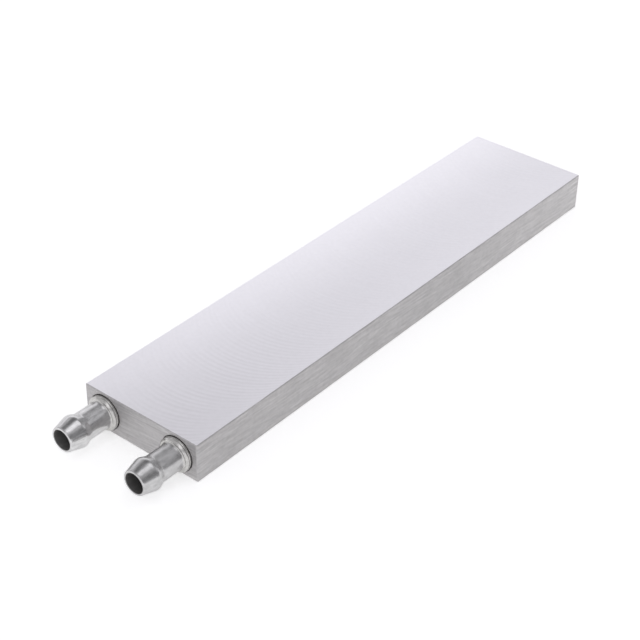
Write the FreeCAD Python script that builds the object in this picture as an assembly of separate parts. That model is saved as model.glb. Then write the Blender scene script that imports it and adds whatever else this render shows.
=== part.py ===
import FreeCAD, Part
import math
import os

from FreeCAD import Vector

# Liquid cooling cold plate: a flat aluminium bar that coolant runs through, with two hose barbs on one end.
#
# The bar is an extruded profile. A web down its middle makes two passes, a rib splits each pass into two channels,
# and teeth stand on the floor and roof of every channel to wet more metal. Coolant enters at one barb, spreads in a
# header, runs down one pass, turns round at the far end and comes back to the other barb. A plug closes each end of
# the profile, flush with it and hard against a shoulder. The front plug is bored for the barbs' spigots, and the
# barbs' flanges sit in shallow round seats in the end face.
#
# Millimetres. The origin is the centre of the bar's underside. +X is across the bar, +Y runs along it away from the
# barbs, and +Z is up.

# Bar
bar_length = 180.0
bar_width = 40.0
bar_height = 12.0
edge_break = 0.25

# Extruded profile inside the bar
skin = 2.0
side_wall = 2.4
web_thickness = 2.4
rib_thickness = 1.2
channel_round = 0.6

# Teeth on the floor and roof of each channel
teeth_per_wall = 3
tooth_height = 1.5
tooth_foot = 1.0
tooth_tip = 0.6

# Open ends of the passes, where the ribs and teeth are milled away
header_length = 10.0
turn_length = 12.0

# End plugs
plug_shoulder = 0.7
plug_round = 1.6
plug_clearance = 0.02
plug_lead = 0.4
front_plug_depth = 8.0
rear_plug_depth = 5.0

# Hose barbs, measured out from the seat that their flange sits on
barb_inset = 7.0
bore_diameter = 6.0
mouth_chamfer = 0.15
spigot_diameter = 8.0
spigot_clearance = 0.02
spigot_setback = 0.3
spigot_lead = 0.4
flange_diameter = 10.2
flange_thickness = 2.3
flange_chamfer = 0.5
stem_diameter = 8.0
stem_fillet = 0.5
ramp_start = 9.2
crest_start = 11.1
crest_land = 0.7
crest_diameter = 9.5
crest_round = 1.0
tip_diameter = 7.3
tip_chamfer = 0.2
barb_length = 16.2

# Seats for the flanges
seat_depth = 0.7
seat_gap = 0.25

# Places worked out from the sizes above
mid_height = bar_height / 2
front_face = -bar_length / 2
rear_face = bar_length / 2
channel_height = bar_height - 2 * skin
inner_width = bar_width - 2 * side_wall
pass_width = (inner_width - web_thickness) / 2
channel_width = (pass_width - rib_thickness) / 2
front_shoulder = front_face + front_plug_depth
rear_shoulder = rear_face - rear_plug_depth
channels_front = front_shoulder + header_length
channels_rear = rear_shoulder - turn_length
seat_floor = front_face + seat_depth
barb_place = bar_width / 2 - barb_inset
barb_places = {"inlet_barb": -barb_place, "outlet_barb": barb_place}
along = Vector(0, 1, 0)


def rounded_corner(before, corner, after, radius):
    """The start, middle and end of the arc that rounds a corner between two straight sides."""
    back = (before - corner).normalize()
    ahead = (after - corner).normalize()
    half_angle = back.getAngle(ahead) / 2
    reach = radius / math.tan(half_angle)
    sink = radius / math.sin(half_angle) - radius
    return corner + back * reach, corner + (back + ahead).normalize() * sink, corner + ahead * reach


def profile(corners):
    """A flat face whose outline passes through corners: pairs of a point and the radius there, 0 for a sharp one."""
    points = [point for point, radius in corners]
    following = points[1:] + points[:1]
    arcs = [
        rounded_corner(points[number - 1], point, following[number], radius)
        for number, (point, radius) in enumerate(corners)
    ]
    edges = []
    for (start, middle, end), (next_start, _, _) in zip(arcs, arcs[1:] + arcs[:1]):
        if start != end:
            edges.append(Part.Arc(start, middle, end).toShape())
        edges.append(Part.LineSegment(end, next_start).toShape())
    return Part.Face(Part.Wire(edges))


def slot(left, right, height, corner, start, end):
    """A block from start to end along Y, centred on the mid height, with its four long edges rounded."""
    low = mid_height - height / 2
    high = mid_height + height / 2
    corners = [(left, low), (right, low), (right, high), (left, high)]
    section = profile([(Vector(x, start, z), corner) for x, z in corners])
    return section.extrude(along * (end - start))


def tooth(centre, inward):
    """A tooth down the length of a channel, standing on its floor (inward 1) or hanging from its roof (-1)."""
    foot = mid_height - inward * channel_height / 2
    tip = foot + inward * tooth_height
    corners = [(-tooth_foot / 2, foot), (tooth_foot / 2, foot), (tooth_tip / 2, tip), (-tooth_tip / 2, tip)]
    section = profile([(Vector(centre + across, channels_front, z), 0) for across, z in corners])
    return section.extrude(along * (channels_rear - channels_front))


def channel(left):
    """The space of one channel: a slot less the teeth on its floor and roof, evenly spaced across it."""
    space = slot(left, left + channel_width, channel_height, channel_round, channels_front, channels_rear)
    pitch = channel_width / (teeth_per_wall + 1)
    centres = [left + pitch * (number + 1) for number in range(teeth_per_wall)]
    return space.cut([tooth(centre, inward) for centre in centres for inward in (1, -1)])


def coolant_spaces():
    """Every space that the coolant fills: two passes with a header and two channels each, and the turn."""
    half = inner_width / 2
    spaces = [slot(-half, half, channel_height, channel_round, channels_rear, rear_shoulder)]
    for left in (-half, web_thickness / 2):
        right = left + pass_width
        spaces.append(slot(left, right, channel_height, channel_round, front_shoulder, channels_front))
        spaces += [channel(left), channel(right - channel_width)]
    return spaces


def end_pocket(start, end, clearance):
    """The block that an end pocket takes out of the bar, drawn in on all four sides by a clearance."""
    half = inner_width / 2 + plug_shoulder - clearance
    height = channel_height + 2 * (plug_shoulder - clearance)
    return slot(-half, half, height, plug_round - clearance, start, end)


def barb_cylinders(radius, depth):
    """A cylinder behind the end face at each barb, to cut a seat or a bore with."""
    return [
        Part.makeCylinder(radius, depth, Vector(x, front_face, mid_height), along) for x in barb_places.values()
    ]


def flange_seats():
    """The shallow round seats that the barbs' flanges sit in, a gap wider than the flange all round."""
    return barb_cylinders(flange_diameter / 2 + seat_gap, seat_depth)


def channel_bar():
    """The bar: edges broken, coolant spaces down its length, a pocket in each end and two flange seats."""
    bar = Part.makeBox(bar_width, bar_length, bar_height, Vector(-bar_width / 2, front_face, 0))
    bar = bar.makeChamfer(edge_break, bar.Edges)
    pockets = [end_pocket(front_face, front_shoulder, 0), end_pocket(rear_shoulder, rear_face, 0)]
    return bar.cut(coolant_spaces() + pockets + flange_seats())


def end_plug(start, end, inner_end):
    """A plug that fills an end pocket but for its clearance, chamfered round the end that goes in first."""
    plug = end_pocket(start, end, plug_clearance)
    inner_face = next(face for face in plug.Faces if abs(face.CenterOfMass.y - inner_end) < plug_clearance)
    return plug.makeChamfer(plug_lead, inner_face.Edges)


def port_end_plug():
    """The plug at the barb end, bored right through for the spigots and seated for the flanges."""
    bores = barb_cylinders(spigot_diameter / 2 + spigot_clearance, front_plug_depth)
    return end_plug(front_face, front_shoulder, front_shoulder).cut(bores + flange_seats())


def hose_barb(x):
    """A barb turned about its own axis: spigot, flange, stem, ramp up to the crest and taper to the mouth."""
    bore = bore_diameter / 2
    spigot = spigot_diameter / 2
    flange = flange_diameter / 2
    stem = stem_diameter / 2
    crest = crest_diameter / 2
    tip = tip_diameter / 2
    spigot_end = seat_floor - front_shoulder + spigot_setback
    section = [
        (bore, spigot_end, 0),
        (spigot - spigot_lead, spigot_end, 0),
        (spigot, spigot_end + spigot_lead, 0),
        (spigot, 0, 0),
        (flange, 0, 0),
        (flange, flange_thickness - flange_chamfer, 0),
        (flange - flange_chamfer, flange_thickness, 0),
        (stem, flange_thickness, stem_fillet),
        (stem, ramp_start, 0),
        (crest, crest_start, crest_round),
        (crest, crest_start + crest_land, crest_round),
        (tip, barb_length - tip_chamfer, 0),
        (tip - tip_chamfer, barb_length, 0),
        (bore + mouth_chamfer, barb_length, 0),
        (bore, barb_length - mouth_chamfer, 0),
    ]
    half_section = profile([(Vector(radius, seat_floor - out, 0), corner) for radius, out, corner in section])
    barb = half_section.revolve(Vector(0, 0, 0), along, 360)
    return barb.translated(Vector(x, 0, mid_height))


parts = {
    "channel_bar": channel_bar(),
    "port_end_plug": port_end_plug(),
    "turn_end_plug": end_plug(rear_shoulder, rear_face, rear_shoulder),
}
for node, x in barb_places.items():
    parts[node] = hose_barb(x)

os.makedirs("parts", exist_ok=True)
for node, shape in parts.items():
    shape.exportStep(f"parts/{node}.step")
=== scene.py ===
"""Finish, barbs and studio for a liquid cooling cold plate.

The plate is a milled aluminium bar with two turned hose barbs. Everything is in metres, in the frame that
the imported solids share. +Y runs along the bar away from the barbs, +X is across it and +Z is up. Patterns on
the metal are laid out in millimetres.
"""

import logging
import math
from dataclasses import dataclass
from enum import Enum
from typing import Union

import bmesh
import bpy
from mathutils import Matrix, Vector


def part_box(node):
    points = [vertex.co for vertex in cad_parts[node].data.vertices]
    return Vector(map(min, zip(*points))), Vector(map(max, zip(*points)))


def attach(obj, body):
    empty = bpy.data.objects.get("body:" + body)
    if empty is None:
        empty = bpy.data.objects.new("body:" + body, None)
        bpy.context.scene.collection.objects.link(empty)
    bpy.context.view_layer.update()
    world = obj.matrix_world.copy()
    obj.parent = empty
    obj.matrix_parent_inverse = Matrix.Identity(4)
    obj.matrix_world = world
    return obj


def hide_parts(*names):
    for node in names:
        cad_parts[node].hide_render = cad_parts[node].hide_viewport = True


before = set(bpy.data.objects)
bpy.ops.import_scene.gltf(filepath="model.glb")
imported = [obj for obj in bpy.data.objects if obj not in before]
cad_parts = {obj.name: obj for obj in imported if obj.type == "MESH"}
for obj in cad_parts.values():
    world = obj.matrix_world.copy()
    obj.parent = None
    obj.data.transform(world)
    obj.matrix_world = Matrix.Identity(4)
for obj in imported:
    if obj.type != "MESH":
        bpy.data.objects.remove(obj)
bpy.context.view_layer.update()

log = logging.getLogger("cold_plate")

Color = tuple[float, float, float]
Triple = tuple[float, float, float]
Socket = bpy.types.NodeSocket
Value = Union[float, Socket]

MM = 0.001
ONES = Vector((1.0, 1.0, 1.0))


class Lay(Enum):
    """The way that brushed lines run: the axis that they follow, and the axis that they lean about."""

    ALONG = ((0.0, 1.0, 0.0), (1.0, 0.0, 0.0))
    ACROSS = ((1.0, 0.0, 0.0), (0.0, 1.0, 0.0))

    @property
    def run(self) -> Vector:
        """The axis that the lines follow."""
        return Vector(self.value[0])

    @property
    def square(self) -> Vector:
        """The axis square to the wall, which the lines lean about."""
        return Vector(self.value[1])


class PolishAndShade(Enum):
    """How bright a turned piece looks, from its roughness and from painted shade on its colour.

    Each holds the roughness of the nose, the roughness of the stem and a factor that darkens the colour of the
    nose and the stem as painted shade.
    """

    BRIGHT = (0.17, 0.215, 1.0)
    # DULL_AND_SHADED is rougher, and its factor of 0.86 darkens the colour as painted shade.
    DULL_AND_SHADED = (0.235, 0.31, 0.86)


@dataclass(frozen=True)
class Fade:
    """A smooth change from one amount to another while a measure goes from its start to its end."""

    start: float
    end: float
    before: float = 0.0
    after: float = 1.0


@dataclass(frozen=True)
class Grain:
    """A soft random pattern: its lumps to a millimetre, its number of finer layers, and their strength."""

    scale: float
    detail: float = 2.0
    roughness: float = 0.5


class Graph:
    """A node graph, with short calls for the nodes that the finishes and the room share."""

    def __init__(self, tree: bpy.types.NodeTree) -> None:
        """Start on an empty tree.

        Args:
            tree: The tree to build in.
        """
        self.tree = tree
        self.tree.nodes.clear()

    def node(self, kind: str, **settings: object) -> bpy.types.Node:
        """Add a node.

        Args:
            kind: The node's type name.
            settings: Properties to set on the node.

        Returns:
            The new node.
        """
        node = self.tree.nodes.new(kind)
        for key, value in settings.items():
            setattr(node, key, value)
        return node

    def feed(self, socket: Socket, value: object) -> None:
        """Link a socket to another one, or set it to a constant.

        Args:
            socket: The input to feed.
            value: An output socket to link from, or a plain value.
        """
        if isinstance(value, bpy.types.NodeSocket):
            self.tree.links.new(value, socket)
        else:
            socket.default_value = value

    def math(self, operation: str, *values: Value) -> Socket:
        """Add a Math node.

        Args:
            operation: The operation's name.
            values: Its inputs, in order.

        Returns:
            The result.
        """
        node = self.node("ShaderNodeMath", operation=operation)
        for socket, value in zip(node.inputs, values):
            self.feed(socket, value)
        return node.outputs[0]

    def times(self, value: Value, other: Value) -> Socket:
        """The product of two values."""
        return self.math("MULTIPLY", value, other)

    def minus(self, value: Value, other: Value) -> Socket:
        """The first value less the second."""
        return self.math("SUBTRACT", value, other)

    def weighed(self, pattern: Value, weight: Value, base: Value) -> Socket:
        """A base value with a weighed pattern added."""
        return self.math("MULTIPLY_ADD", pattern, weight, base)

    def hypotenuse(self, side: Socket, other: Socket) -> Socket:
        """How far a point lies from an axis, from its two distances square to that axis."""
        return self.math("SQRT", self.math("ADD", self.times(side, side), self.times(other, other)))

    def blend(self, factor: Value, low: Value, high: Value, vectors: bool = False) -> Socket:
        """Mix two values or two vectors.

        Args:
            factor: 0 for the first, 1 for the second.
            low: The first value.
            high: The second value.
            vectors: Whether the values are vectors or colours.

        Returns:
            The mixed value.
        """
        node = self.node("ShaderNodeMix", data_type="VECTOR" if vectors else "FLOAT")
        live = [socket for socket in node.inputs if socket.enabled]
        for socket, value in zip(live, (factor, low, high)):
            self.feed(socket, value)
        return next(socket for socket in node.outputs if socket.enabled)

    def fade(self, value: Value, fade: Fade) -> Socket:
        """The amount that a fade gives at some value of its measure.

        Args:
            value: The measure's value.
            fade: The fade.

        Returns:
            The amount, without overshoot.
        """
        node = self.node("ShaderNodeMapRange", interpolation_type="SMOOTHSTEP")
        for socket, item in zip(node.inputs, (value, fade.start, fade.end, fade.before, fade.after)):
            self.feed(socket, item)
        return node.outputs[0]

    def place(self) -> Socket:
        """Read where on the piece a point lies.

        Returns:
            The point, in millimetres.
        """
        node = self.node("ShaderNodeVectorMath", operation="SCALE")
        self.feed(node.inputs[0], self.node("ShaderNodeTexCoord").outputs["Object"])
        node.inputs["Scale"].default_value = 1.0 / MM
        return node.outputs[0]

    def split(self, vector: Socket) -> tuple[Socket, Socket, Socket]:
        """Take a vector apart.

        Args:
            vector: The vector.

        Returns:
            Its three parts.
        """
        node = self.node("ShaderNodeSeparateXYZ")
        self.feed(node.inputs[0], vector)
        return node.outputs[0], node.outputs[1], node.outputs[2]

    def join(self, x: Value, y: Value, z: Value) -> Socket:
        """Make a vector of three parts.

        Args:
            x: Its X part.
            y: Its Y part.
            z: Its Z part.

        Returns:
            The vector.
        """
        node = self.node("ShaderNodeCombineXYZ")
        for socket, value in zip(node.inputs, (x, y, z)):
            self.feed(socket, value)
        return node.outputs[0]

    def facing(self) -> tuple[Socket, ...]:
        """How far the surface faces along X, Y and Z, each from 0 to 1 whichever way it points."""
        normal = self.node("ShaderNodeTexCoord").outputs["Normal"]
        return tuple(self.math("ABSOLUTE", part) for part in self.split(normal))

    def stretched(self, vector: Socket, scale: Vector) -> Socket:
        """Scale a vector by a different amount along each axis.

        Args:
            vector: The vector.
            scale: The three amounts.

        Returns:
            The scaled vector.
        """
        node = self.node("ShaderNodeVectorMath", operation="MULTIPLY")
        self.feed(node.inputs[0], vector)
        node.inputs[1].default_value = scale
        return node.outputs[0]

    def noise(self, vector: Socket, grain: Grain) -> Socket:
        """A random pattern around 0.5.

        Args:
            vector: The point to read it at.
            grain: The pattern's scale and layers.

        Returns:
            The pattern's value.
        """
        node = self.node("ShaderNodeTexNoise")
        self.feed(node.inputs["Vector"], vector)
        node.inputs["Scale"].default_value = grain.scale
        node.inputs["Detail"].default_value = grain.detail
        node.inputs["Roughness"].default_value = grain.roughness
        return node.outputs["Fac"]

    def speckle(self, vector: Socket, grain: Grain) -> Socket:
        """A random pattern around 0."""
        return self.minus(self.noise(vector, grain), 0.5)

    def dot(self, vector: Socket, other: Vector) -> Socket:
        """Multiply a vector with a constant one.

        Args:
            vector: The vector.
            other: The constant vector.

        Returns:
            Their dot product.
        """
        node = self.node("ShaderNodeVectorMath", operation="DOT_PRODUCT")
        self.feed(node.inputs[0], vector)
        node.inputs[1].default_value = other
        return node.outputs["Value"]

    def unit(self, vector: Socket) -> Socket:
        """Bring a vector to length 1.

        Args:
            vector: The vector.

        Returns:
            The unit vector.
        """
        node = self.node("ShaderNodeVectorMath", operation="NORMALIZE")
        self.feed(node.inputs[0], vector)
        return node.outputs[0]

    def turned(self, vector: Socket, axis: Vector, degrees: float) -> Socket:
        """Turn a vector about an axis through the origin.

        Args:
            vector: The vector.
            axis: The axis.
            degrees: The angle.

        Returns:
            The turned vector.
        """
        node = self.node("ShaderNodeVectorRotate", rotation_type="AXIS_ANGLE")
        self.feed(node.inputs["Vector"], vector)
        node.inputs["Axis"].default_value = axis
        node.inputs["Angle"].default_value = math.radians(degrees)
        return node.outputs[0]

    def tint(self, color: Color, strength: Value) -> Socket:
        """Make a colour lighter or darker.

        Args:
            color: The colour.
            strength: The strength to multiply it with, around 1.

        Returns:
            The new colour.
        """
        node = self.node("ShaderNodeVectorMath", operation="SCALE")
        node.inputs[0].default_value = color
        self.feed(node.inputs["Scale"], strength)
        return node.outputs[0]

    def bump(self, height: Socket, distance: float) -> Socket:
        """A surface normal tipped by a height pattern.

        Args:
            height: The pattern.
            distance: The height that 1 in the pattern stands for, in metres.

        Returns:
            The tipped normal.
        """
        node = self.node("ShaderNodeBump")
        node.inputs["Strength"].default_value = 1.0
        node.inputs["Distance"].default_value = distance
        self.feed(node.inputs["Height"], height)
        return node.outputs[0]


class SurfaceGraph(Graph):
    """The node graph of one material, with its Principled shader."""

    def __init__(self, name: str) -> None:
        """Start an empty graph with a Principled shader and an output.

        Args:
            name: The material's name.
        """
        self.material = bpy.data.materials.new(name)
        self.material.use_nodes = True
        super().__init__(self.material.node_tree)
        self.shader = self.node("ShaderNodeBsdfPrincipled")
        output = self.node("ShaderNodeOutputMaterial")
        self.tree.links.new(self.shader.outputs["BSDF"], output.inputs["Surface"])

    def finish(self, **inputs: object) -> bpy.types.Material:
        """Feed the shader and hand over the material.

        Args:
            inputs: Values or sockets by the shader's input names, with underscores for spaces.

        Returns:
            The finished material.
        """
        for name, value in inputs.items():
            self.feed(self.shader.inputs[name.replace("_", " ")], value)
        return self.material


@dataclass(frozen=True)
class CutterArcs:
    """The arcs that a face cutter leaves as it travels along the bar. Sizes are in millimetres.

    The regular ridges are strongest near the barbs and on the +X side, and come and go in patches. Finer
    lines between them run all the way.
    """

    radius: float = 25.0
    offset: float = -0.8
    feed_pitch: float = 1.65
    drift_squeeze: float = 0.11
    drift: Grain = Grain(1.0)
    drift_weight: float = 1.2
    patches: Grain = Grain(0.06, 1.0)
    patch_edge: Fade = Fade(0.38, 0.62, 0.2, 1.0)
    ridges_across: Fade = Fade(-17.0, 6.0, 0.2, 1.0)
    ridges_along: Fade = Fade(-75.0, -5.0, 1.0, 0.25)
    ridge_weight: float = 0.42
    fine_squeeze: float = 0.05
    fine: Grain = Grain(1.1, 1.0)
    fine_along: Fade = Fade(-75.0, -5.0, 0.7, 0.5)

    def marks(self, graph: Graph, place: Socket) -> tuple[Socket, Socket]:
        """Draw the arcs.

        Args:
            graph: The graph to build in.
            place: The point on the piece, in millimetres.

        Returns:
            The marks, around 0, and the direction across them.
        """
        x, y, _ = graph.split(place)
        aside = graph.minus(x, self.offset)
        back = graph.math("SQRT", graph.minus(self.radius**2, graph.times(aside, aside)))
        travel = graph.math("ADD", y, back)

        drift = graph.noise(graph.join(0.0, graph.times(travel, self.drift_squeeze), 0.0), self.drift)
        phase = graph.weighed(drift, self.drift_weight, graph.math("DIVIDE", travel, self.feed_pitch))
        ridges = graph.math("SINE", graph.times(phase, math.tau))
        patchy = graph.fade(graph.noise(place, self.patches), self.patch_edge)
        heavy = graph.times(graph.fade(x, self.ridges_across), graph.fade(y, self.ridges_along))
        ridges = graph.times(ridges, graph.times(patchy, heavy))

        fine = graph.speckle(graph.join(travel, graph.times(x, self.fine_squeeze), 0.0), self.fine)
        fine = graph.times(fine, graph.fade(y, self.fine_along))
        outward = graph.math("DIVIDE", aside, self.radius)
        forward = graph.math("DIVIDE", back, -self.radius)
        return graph.weighed(ridges, self.ridge_weight, fine), graph.join(outward, forward, 0.0)


@dataclass(frozen=True)
class Brushing:
    """The fine lines, short rubs and scratches of a straight brushed wall.

    Rubs are drawn out to a number of times their width. Lines and scratches come from a pattern that is
    squeezed by a share of its length. Rubs and lines lean off their axis by the tilt, in degrees, and
    scratches lean the other way.
    """

    lay: Lay
    drawn: float
    tilt: float
    rubs: Grain = Grain(1.2, 2.0, 0.6)
    rub_weight: float = 2.6
    lines: Grain = Grain(1.8, 1.0)
    line_squeeze: float = 0.96
    line_weight: float = 2.4
    scratches: Grain = Grain(0.9, 0.0)
    scratch_squeeze: float = 0.93
    scratch_turn: float = -3.0
    scratch_edge: Fade = Fade(0.66, 0.76)
    scratch_weight: float = 0.5

    def squeezed(self, graph: Graph, vector: Socket, share: float) -> Socket:
        """A vector made shorter by a share of its length along the lines."""
        return graph.stretched(vector, ONES - self.lay.run * share)

    def marks(self, graph: Graph, place: Socket) -> Socket:
        """Draw the lines, rubs and scratches.

        Args:
            graph: The graph to build in.
            place: The point on the piece, in millimetres.

        Returns:
            The marks, around 0.
        """
        leaning = graph.turned(place, self.lay.square, self.tilt)
        crossing = graph.turned(place, self.lay.square, self.tilt * self.scratch_turn)
        rubs = graph.speckle(self.squeezed(graph, leaning, 1.0 - 1.0 / self.drawn), self.rubs)
        lines = graph.speckle(self.squeezed(graph, leaning, self.line_squeeze), self.lines)
        scratches = graph.noise(self.squeezed(graph, crossing, self.scratch_squeeze), self.scratches)
        marks = graph.weighed(lines, self.line_weight, graph.times(rubs, self.rub_weight))
        return graph.weighed(graph.fade(scratches, self.scratch_edge), self.scratch_weight, marks)


@dataclass(frozen=True)
class MachinedAluminium:
    """The bar's finish: cutter arcs on the wide faces, and brushed lines on the sides and the ends."""

    name: str = "machined_aluminium"
    arcs: CutterArcs = CutterArcs()
    sides: Brushing = Brushing(Lay.ALONG, 6.0, 2.5)
    ends: Brushing = Brushing(Lay.ACROSS, 9.0, 4.0)
    squarely: Fade = Fade(0.85, 0.95)
    # The wide faces are pale from their milled finish; their lilac tint is a painted reflection of the cool
    # overhead light.
    face_color_and_sheen: Color = (0.877, 0.864, 0.903)
    face_roughness: float = 0.3
    face_metallic: float = 1.0
    face_marks: float = 0.07
    face_grain: float = 0.06
    # The walls are darker than the wide faces, partly for their rougher brushed finish and partly as painted
    # shade on the upright faces.
    wall_color_and_shade: Color = (0.55, 0.538, 0.538)
    wall_roughness: float = 0.46
    wall_metallic: float = 0.6
    wall_grain: float = 0.2
    # Painted light: the walls' colour grows up to 13% paler towards the far end, +Y.
    wall_painted_far_light: Fade = Fade(10.0, 90.0, 1.0, 1.13)
    side_marks: float = 0.17
    end_marks: float = 0.2
    grain: Grain = Grain(0.9, 1.0)
    cloud: Grain = Grain(0.09, 3.0, 0.55)
    cloud_weight: float = 0.08
    anisotropy: float = 0.55
    mark_depth: float = 0.003 * MM

    def material(self) -> bpy.types.Material:
        """Build the material.

        Returns:
            The material.
        """
        graph = SurfaceGraph(self.name)
        place = graph.place()
        _, faces_y, faces_z = graph.facing()
        wide = graph.fade(faces_z, self.squarely)
        end = graph.fade(faces_y, self.squarely)

        arcs, across = self.arcs.marks(graph, place)
        sides = self.sides.marks(graph, place)
        ends = self.ends.marks(graph, place)
        marks = graph.blend(wide, graph.blend(end, sides, ends), arcs)
        grain = graph.speckle(place, self.grain)
        cloud = graph.speckle(place, self.cloud)

        wall_marks = graph.blend(end, self.side_marks, self.end_marks)
        shade = graph.weighed(marks, graph.blend(wide, wall_marks, self.face_marks), 1.0)
        shade = graph.weighed(grain, graph.blend(wide, self.wall_grain, self.face_grain), shade)
        shade = graph.weighed(cloud, self.cloud_weight, shade)
        # Painted light on the walls and the ends, paler towards the far end.
        far_light = graph.fade(graph.split(place)[1], self.wall_painted_far_light)
        # The walls' darker colour is partly painted shade.
        wall = graph.tint(self.wall_color_and_shade, graph.times(shade, far_light))
        roughness = graph.blend(wide, self.wall_roughness, self.face_roughness)
        return graph.finish(
            Base_Color=graph.blend(wide, wall, graph.tint(self.face_color_and_sheen, shade), vectors=True),
            Metallic=graph.blend(wide, self.wall_metallic, self.face_metallic),
            Roughness=graph.weighed(cloud, self.cloud_weight, roughness),
            Anisotropic=self.anisotropy,
            Tangent=graph.blend(wide, graph.join(0.0, 0.0, 1.0), across, vectors=True),
            Normal=graph.bump(marks, self.mark_depth),
        )


@dataclass(frozen=True)
class TurnedAluminium:
    """The barbs' finish: turned metal with fine rings and light wear, rougher, darker and warmer on the
    flange, and rougher and less metallic in the bore, whose dark colour is painted shade.

    Places are in millimetres: how far aside and how high the barb's axis runs, and how far along the bar its
    stem and its flange begin. The blends say how far ahead of each of them its finish starts to come in, and
    how far outside the bore its finish starts and ends its fading.
    """

    name: str
    polish_and_shade: PolishAndShade
    aside: float
    height: float
    stem_front: float
    flange_front: float
    bore_radius: float
    color: Color = (0.635, 0.632, 0.632)
    stem_blend: float = 1.0
    flange_color: Color = (0.57, 0.562, 0.545)
    flange_roughness: float = 0.25
    flange_blend: float = 0.7
    # Painted shade: the bore's dark colour stands for the shade in the hollow; its rougher, less metallic
    # finish is the drilled surface.
    bore_shaded_color: Color = (0.28, 0.275, 0.27)
    bore_roughness: float = 0.55
    bore_metallic: float = 0.8
    bore_blend: tuple[float, float] = (0.03, 0.12)
    rings: Grain = Grain(5.0, 3.0, 0.6)
    ring_weight: float = 0.06
    ring_base: float = 0.97
    ring_depth: float = 0.001 * MM
    wear: Grain = Grain(1.1, 3.0, 0.6)
    wear_stretch: Triple = (1.0, 0.4, 1.0)
    wear_shade: float = 0.7
    wear_roughness: float = 0.12
    edge_tint: Color = (0.8, 0.8, 0.8)
    anisotropy: float = 0.25

    def material(self) -> bpy.types.Material:
        """Build the material.

        Returns:
            The material.
        """
        graph = SurfaceGraph(self.name)
        place = graph.place()
        x, along, z = graph.split(place)
        stem = graph.fade(along, Fade(self.stem_front - self.stem_blend, self.stem_front))
        flange = graph.fade(along, Fade(self.flange_front - self.flange_blend, self.flange_front))
        radius = graph.hypotenuse(graph.minus(x, self.aside), graph.minus(z, self.height))
        inner, outer = self.bore_blend
        bore = graph.fade(radius, Fade(self.bore_radius + inner, self.bore_radius + outer, 1.0, 0.0))

        rings = graph.noise(graph.join(0.0, along, 0.0), self.rings)
        wear = graph.speckle(graph.stretched(place, Vector(self.wear_stretch)), self.wear)
        nose_roughness, stem_roughness, painted_shade_factor = self.polish_and_shade.value
        shade = graph.weighed(rings, self.ring_weight, self.ring_base)
        shade = graph.weighed(wear, self.wear_shade, shade)
        # Painted shade: the nose and the stem are darkened by the polish's factor; the flange keeps its
        # colour.
        shade = graph.times(shade, graph.blend(flange, painted_shade_factor, 1.0))
        color = graph.blend(
            flange, graph.tint(self.color, shade), graph.tint(self.flange_color, shade), vectors=True
        )
        roughness = graph.blend(stem, nose_roughness, stem_roughness)
        roughness = graph.blend(flange, roughness, self.flange_roughness)
        roughness = graph.weighed(wear, self.wear_roughness, roughness)
        return graph.finish(
            # Painted shade: the bore takes a dark colour.
            Base_Color=graph.blend(bore, color, graph.tint(self.bore_shaded_color, shade), vectors=True),
            Metallic=graph.blend(bore, 1.0, self.bore_metallic),
            Roughness=graph.blend(bore, roughness, self.bore_roughness),
            Specular_Tint=(*self.edge_tint, 1.0),
            Anisotropic=self.anisotropy,
            Tangent=graph.join(0.0, 1.0, 0.0),
            Normal=graph.bump(rings, self.ring_depth),
        )


def add_object(name: str, data: bpy.types.ID) -> bpy.types.Object:
    """Add an object to the scene.

    Args:
        name: The object's name.
        data: Its mesh or its camera.

    Returns:
        The new object.
    """
    added = bpy.data.objects.new(name, data)
    bpy.context.scene.collection.objects.link(added)
    return added


def add_mesh(name: str, shape: bmesh.types.BMesh) -> bpy.types.Object:
    """Add a mesh object to the scene, and let go of the shape that it is made from.

    Args:
        name: The name of the object and its mesh.
        shape: The shape.

    Returns:
        The new object.
    """
    data = bpy.data.meshes.new(name)
    shape.to_mesh(data)
    shape.free()
    return add_object(name, data)


@dataclass
class Bar:
    """The channel bar and its two end plugs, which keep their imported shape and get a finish."""

    finish: MachinedAluminium
    nodes: tuple[str, ...] = ("channel_bar", "port_end_plug", "turn_end_plug")

    def dress(self) -> list[bpy.types.Object]:
        """Give the bar and its plugs their finish.

        Returns:
            The dressed objects.
        """
        material = self.finish.material()
        dressed = [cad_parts[name] for name in self.nodes]
        for node in dressed:
            node.data.materials.clear()
            node.data.materials.append(material)
        return dressed


@dataclass(frozen=True)
class Corner:
    """A corner of a turned section: its radius, its distance out and the reach of the cut that rounds it."""

    radius: float
    out: float
    cut: float


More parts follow.
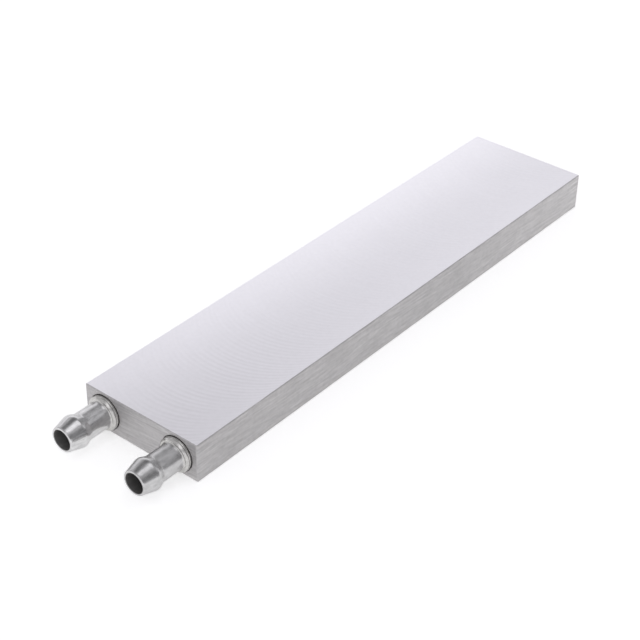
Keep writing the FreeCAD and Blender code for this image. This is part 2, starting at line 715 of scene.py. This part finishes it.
@dataclass
class HoseBarb:
    """A turned hose barb: its section is rounded at every corner and spun about the barb's own axis.

    Distances run out from the end of the spigot, and every size is in metres.
    """

    node: str
    polish_and_shade: PolishAndShade
    bore_radius: float = 3.0 * MM
    spigot_radius: float = 4.0 * MM
    spigot_length: float = 7.0 * MM
    spigot_cut: float = 0.3 * MM
    flange_radius: float = 5.1 * MM
    flange_thickness: float = 2.3 * MM
    flange_chamfer: float = 0.5 * MM
    fine_cut: float = 0.08 * MM
    groove_out: float = 1.35 * MM
    groove_depth: float = 0.1 * MM
    groove_cut: float = 0.04 * MM
    stem_radius: float = 4.0 * MM
    stem_cut: float = 0.45 * MM
    ramp_start: float = 9.2 * MM
    ramp_cut: float = 0.3 * MM
    crest_start: float = 11.1 * MM
    crest_land: float = 0.7 * MM
    crest_radius: float = 4.75 * MM
    crest_cut: float = 0.25 * MM
    tip_radius: float = 3.65 * MM
    tip_cut: float = 0.25 * MM
    mouth_cut: float = 0.15 * MM
    corner_segments: int = 4
    steps: int = 160
    longest_run: float = 0.8 * MM
    run_cuts: int = 9
    weld: float = 0.001 * MM

    def finish(self) -> TurnedAluminium:
        """Fit the turned finish to the barb's place.

        Returns:
            The finish.
        """
        low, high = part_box(self.node)
        seat = high.y - self.spigot_length
        return TurnedAluminium(
            name=f"{self.node}_aluminium",
            polish_and_shade=self.polish_and_shade,
            aside=(low.x + high.x) / 2 / MM,
            height=(low.z + high.z) / 2 / MM,
            stem_front=(seat - self.ramp_start) / MM,
            flange_front=(seat - self.flange_thickness) / MM,
            bore_radius=self.bore_radius / MM,
        )

    def section(self, length: float) -> list[Corner]:
        """The corners of the half section.

        Args:
            length: The barb's whole length.

        Returns:
            The corners in order round the section.
        """
        seat = self.spigot_length
        groove = seat + self.groove_out
        flange_top = seat + self.flange_thickness
        crest = seat + self.crest_start
        return [
            Corner(self.bore_radius, 0.0, self.fine_cut),
            Corner(self.spigot_radius, 0.0, self.spigot_cut),
            Corner(self.spigot_radius, seat, 0.0),
            Corner(self.flange_radius, seat, self.fine_cut),
            Corner(self.flange_radius, groove - self.groove_depth, self.groove_cut),
            Corner(self.flange_radius - self.groove_depth, groove, self.groove_cut),
            Corner(self.flange_radius, groove + self.groove_depth, self.groove_cut),
            Corner(self.flange_radius, flange_top - self.flange_chamfer, self.fine_cut),
            Corner(self.flange_radius - self.flange_chamfer, flange_top, self.fine_cut),
            Corner(self.stem_radius, flange_top, self.stem_cut),
            Corner(self.stem_radius, seat + self.ramp_start, self.ramp_cut),
            Corner(self.crest_radius, crest, self.crest_cut),
            Corner(self.crest_radius, crest + self.crest_land, self.crest_cut),
            Corner(self.tip_radius, length, self.tip_cut),
            Corner(self.bore_radius, length, self.mouth_cut),
        ]

    def turn(self) -> bmesh.types.BMesh:
        """Draw the half section, round its corners and spin it about the barb's axis.

        Returns:
            The barb's shape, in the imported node's place.
        """
        low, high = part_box(self.node)
        axis = Vector(((low.x + high.x) / 2, 0.0, (low.z + high.z) / 2))
        shape = bmesh.new()
        corners = self.section(high.y - low.y)
        places = [Vector((corner.radius, high.y - corner.out, 0.0)) for corner in corners]
        ring = [shape.verts.new(axis + place) for place in places]
        for start, end in zip(ring, ring[1:] + ring[:1]):
            shape.edges.new((start, end))
        for vertex, corner in zip(ring, corners):
            if corner.cut > 0.0:
                bmesh.ops.bevel(
                    shape,
                    geom=[vertex],
                    offset=corner.cut,
                    affect="VERTICES",
                    segments=self.corner_segments,
                    profile=0.5,
                    material=-1,
                )
        runs = [edge for edge in shape.edges if edge.calc_length() > self.longest_run]
        bmesh.ops.subdivide_edges(shape, edges=runs, cuts=self.run_cuts)
        bmesh.ops.spin(
            shape,
            geom=shape.verts[:] + shape.edges[:],
            cent=axis,
            axis=(0.0, 1.0, 0.0),
            angle=math.tau,
            steps=self.steps,
            use_merge=True,
        )
        bmesh.ops.remove_doubles(shape, verts=shape.verts, dist=self.weld)
        bmesh.ops.recalc_face_normals(shape, faces=shape.faces)
        for face in shape.faces:
            face.smooth = True
        return shape

    def build(self) -> bpy.types.Object:
        """Turn the barb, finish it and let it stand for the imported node.

        Returns:
            The barb's object.
        """
        piece = add_mesh(f"{self.node}_turned", self.turn())
        piece.data.materials.append(self.finish().material())
        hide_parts(self.node)
        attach(piece, "root")
        return piece


@dataclass(frozen=True)
class SkyPatch:
    """A soft region of the room's walls or ceiling with a brightness of its own.

    Its angles are in degrees: where its middle lies, and how far from there it starts and ends its fading. It
    is round unless it is squashed.
    """

    azimuth: float
    elevation: float
    inner: float
    outer: float
    level: float
    squash: float = 1.0

    def weight(self, graph: Graph, direction: Socket) -> Socket:
        """How far a direction lies within the patch.

        Args:
            graph: The graph to build in.
            direction: The direction, of length 1.

        Returns:
            1 in the middle of the patch, fading to 0 at its outer angle.
        """
        turn, rise = math.radians(self.azimuth), math.radians(self.elevation)
        scale = Vector((1.0, 1.0, self.squash))
        middle = Vector((math.sin(turn) * math.cos(rise), math.cos(turn) * math.cos(rise), math.sin(rise)))
        near = graph.dot(graph.unit(graph.stretched(direction, scale)), (middle * scale).normalized())
        return graph.fade(near, Fade(math.cos(math.radians(self.outer)), math.cos(math.radians(self.inner))))


@dataclass
class Studio:
    """The floor, the room that lights the plate and the camera.

    Patches turn from +Y towards +X, and the camera from -Y towards +X. Angles are in degrees, and the fades
    go by how steeply a direction rises.
    """

    floor_size: float = 12.0
    floor_color: Color = (0.86, 0.86, 0.86)
    floor_roughness: float = 0.9
    floor_glow: float = 0.52
    room_color: Color = (0.975, 0.97, 1.0)
    room_level: float = 0.55
    patches: tuple[SkyPatch, ...] = (
        SkyPatch(180.0, 30.0, 60.0, 110.0, 0.6),
        SkyPatch(167.0, 39.0, 8.0, 18.0, 1.5),
        SkyPatch(-44.0, 10.0, 30.5, 41.0, 1.13, 1.6),
        SkyPatch(-8.0, 14.0, 8.0, 22.0, 0.35),
        SkyPatch(10.0, 47.0, 6.0, 22.0, 0.34),
        SkyPatch(-60.0, 60.0, 6.0, 23.0, 0.22),
        SkyPatch(40.0, 74.0, 9.0, 21.0, 1.3),
        SkyPatch(82.0, 24.0, 10.0, 34.0, 0.3),
    )
    wall_foot: Fade = Fade(-0.5, -0.1, 0.78, 1.0)
    wall_top: Fade = Fade(0.2, 0.28)
    wall_patches: tuple[SkyPatch, ...] = (
        SkyPatch(67.0, 12.0, 19.0, 25.0, 0.3, 2.0),
        SkyPatch(41.0, 31.0, 8.0, 16.0, 0.7),
    )
    lens: float = 90.18
    sensor: float = 36.0
    camera_place: Triple = (0.23743, -0.31253, 0.26882)
    azimuth: float = 38.766
    elevation: float = 35.073
    roll: float = 1.174

    def floor_paint(self) -> bpy.types.Material:
        """Build a pale paint that shows the same white to the camera and to the metal.

        Returns:
            The paint.
        """
        graph = SurfaceGraph("floor_paint")
        path = graph.node("ShaderNodeLightPath").outputs
        seen = graph.math("MAXIMUM", path["Is Camera Ray"], path["Is Glossy Ray"])
        seen = graph.math("MAXIMUM", seen, path["Is Transmission Ray"])
        return graph.finish(
            Base_Color=(*self.floor_color, 1.0),
            Roughness=self.floor_roughness,
            Specular_IOR_Level=0.0,
            Emission_Color=(1.0, 1.0, 1.0, 1.0),
            Emission_Strength=graph.times(seen, self.floor_glow),
        )

    def lay_floor(self) -> bpy.types.Object:
        """Make a wide flat floor.

        Returns:
            The floor's object.
        """
        shape = bmesh.new()
        bmesh.ops.create_grid(shape, x_segments=1, y_segments=1, size=self.floor_size / 2)
        floor = add_mesh("floor", shape)
        floor.data.materials.append(self.floor_paint())
        return floor

    def light_room(self) -> None:
        """Light the plate from a room with a white wall all round, a soft box overhead and dimmer corners."""
        world = bpy.data.worlds.new("room")
        bpy.context.scene.world = world
        world.use_nodes = True
        graph = Graph(world.node_tree)
        direction = graph.node("ShaderNodeTexCoord").outputs["Generated"]
        level = self.room_level
        for patch in self.patches:
            level = graph.blend(patch.weight(graph, direction), level, patch.level)
        rise = graph.split(direction)[2]
        level = graph.blend(graph.fade(rise, self.wall_top), graph.fade(rise, self.wall_foot), level)
        for patch in self.wall_patches:
            level = graph.blend(patch.weight(graph, direction), level, patch.level)
        background = graph.node("ShaderNodeBackground")
        graph.feed(background.inputs["Color"], (*self.room_color, 1.0))
        graph.feed(background.inputs["Strength"], level)
        output = graph.node("ShaderNodeOutputWorld")
        graph.tree.links.new(background.outputs[0], output.inputs["Surface"])

    def set_camera(self) -> None:
        """Stand the camera in its place and turn it to its azimuth, elevation and roll."""
        turn, rise = math.radians(self.azimuth), math.radians(self.elevation)
        ahead = Vector((-math.sin(turn) * math.cos(rise), math.cos(turn) * math.cos(rise), -math.sin(rise)))
        data = bpy.data.cameras.new("camera")
        data.lens = self.lens
        data.sensor_width = self.sensor
        camera = add_object("camera", data)
        facing = ahead.to_track_quat("-Z", "Y").to_matrix().to_4x4()
        tip = Matrix.Rotation(math.radians(self.roll), 4, "Z")
        camera.matrix_world = Matrix.Translation(self.camera_place) @ facing @ tip
        bpy.context.scene.camera = camera

    def build(self) -> None:
        """Set up the whole studio."""
        self.lay_floor()
        self.light_room()
        self.set_camera()
        bpy.context.scene.view_settings.view_transform = "Standard"


def main() -> None:
    """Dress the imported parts, turn the barbs and set up the studio."""
    logging.basicConfig(level=logging.INFO, format="%(name)s: %(message)s")
    for node in Bar(MachinedAluminium()).dress():
        log.info("dressed %s", node.name)
    # The outlet barb's duller polish also darkens its colour as painted shade.
    for name, polish_and_shade in (("inlet_barb", PolishAndShade.BRIGHT), ("outlet_barb", PolishAndShade.DULL_AND_SHADED)):
        piece = HoseBarb(name, polish_and_shade).build()
        log.info("turned %s with %d faces", piece.name, len(piece.data.polygons))
    Studio().build()


if __name__ == "__main__":
    main()
